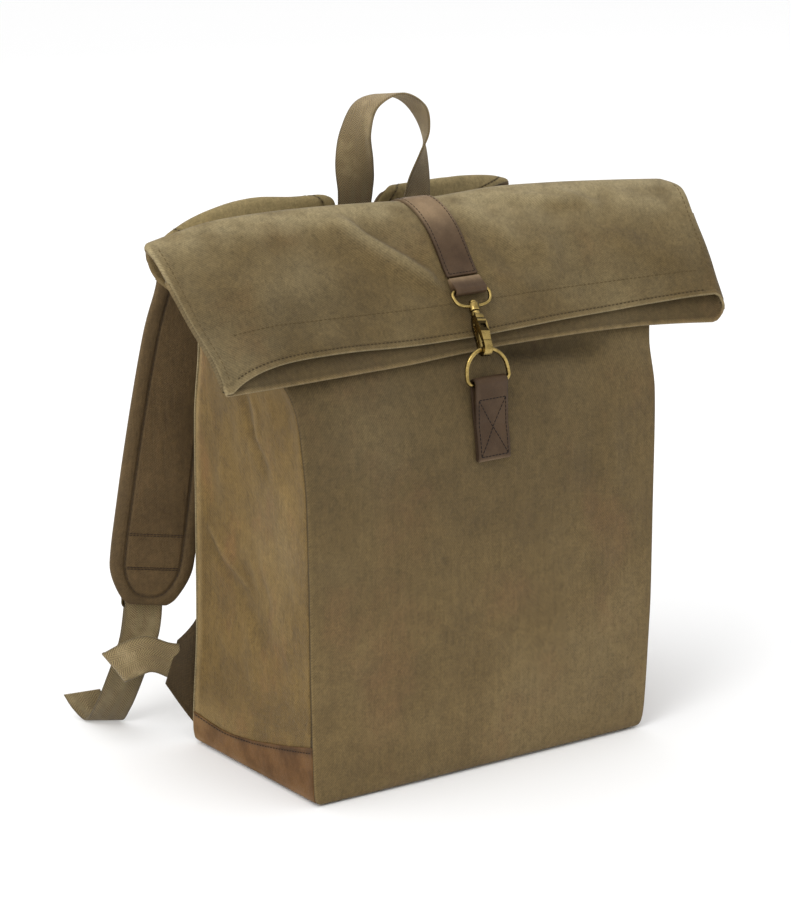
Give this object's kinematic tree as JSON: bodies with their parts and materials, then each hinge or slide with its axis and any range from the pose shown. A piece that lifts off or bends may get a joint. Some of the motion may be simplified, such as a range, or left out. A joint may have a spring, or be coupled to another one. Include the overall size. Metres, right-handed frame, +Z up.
{
  "type": "roll-top backpack",
  "caption": "Waxed canvas backpack with a folded-over top held by a leather strap and a sprung swivel hook on a ring, a webbing carry handle and padded shoulder straps.",
  "frame": {"origin": "centre of the flat base, on the floor", "axes": "+Z up, -Y towards the front with the hook and ring, +X to the right seen from the front"},
  "size_m": [0.475, 0.2937, 0.498],
  "materials": {
    "canvas": "waxed",
    "side_canvas": "waxed",
    "pad": "matte",
    "webbing": "matte",
    "leather": "satin",
    "patch": "satin",
    "brass": "antique"
  },
  "bodies": {
    "bag": {"front_panel": "canvas", "back_panel": "canvas", "gusset_left": "side_canvas", "gusset_right": "side_canvas", "side_patch_left": "patch", "side_patch_right": "patch", "base_panel": "canvas", "closing_strap": "leather", "front_tab": "leather", "swivel_loop": "brass", "hook_body": "brass", "d_ring": "brass", "carry_handle": "webbing", "shoulder_pad_left": "pad", "shoulder_pad_right": "pad", "strap_web_left": "webbing", "strap_web_right": "webbing", "ear_left": "canvas", "ear_right": "canvas", "slider_left": "brass", "slider_right": "brass"},
    "gate": {"hook_gate": "brass"}
  },
  "joints": [
    {"name": "hook_gate_hinge", "type": "hinge", "parent": "bag", "child": "gate", "pos_m": [-0.00376, -0.08264, 0.34463], "axis": [0.9903, -0.0818, -0.1126], "range_deg": [0, 20], "stiffness_Nm_per_rad": 0.05, "springref_deg": -20.05}
  ]
}
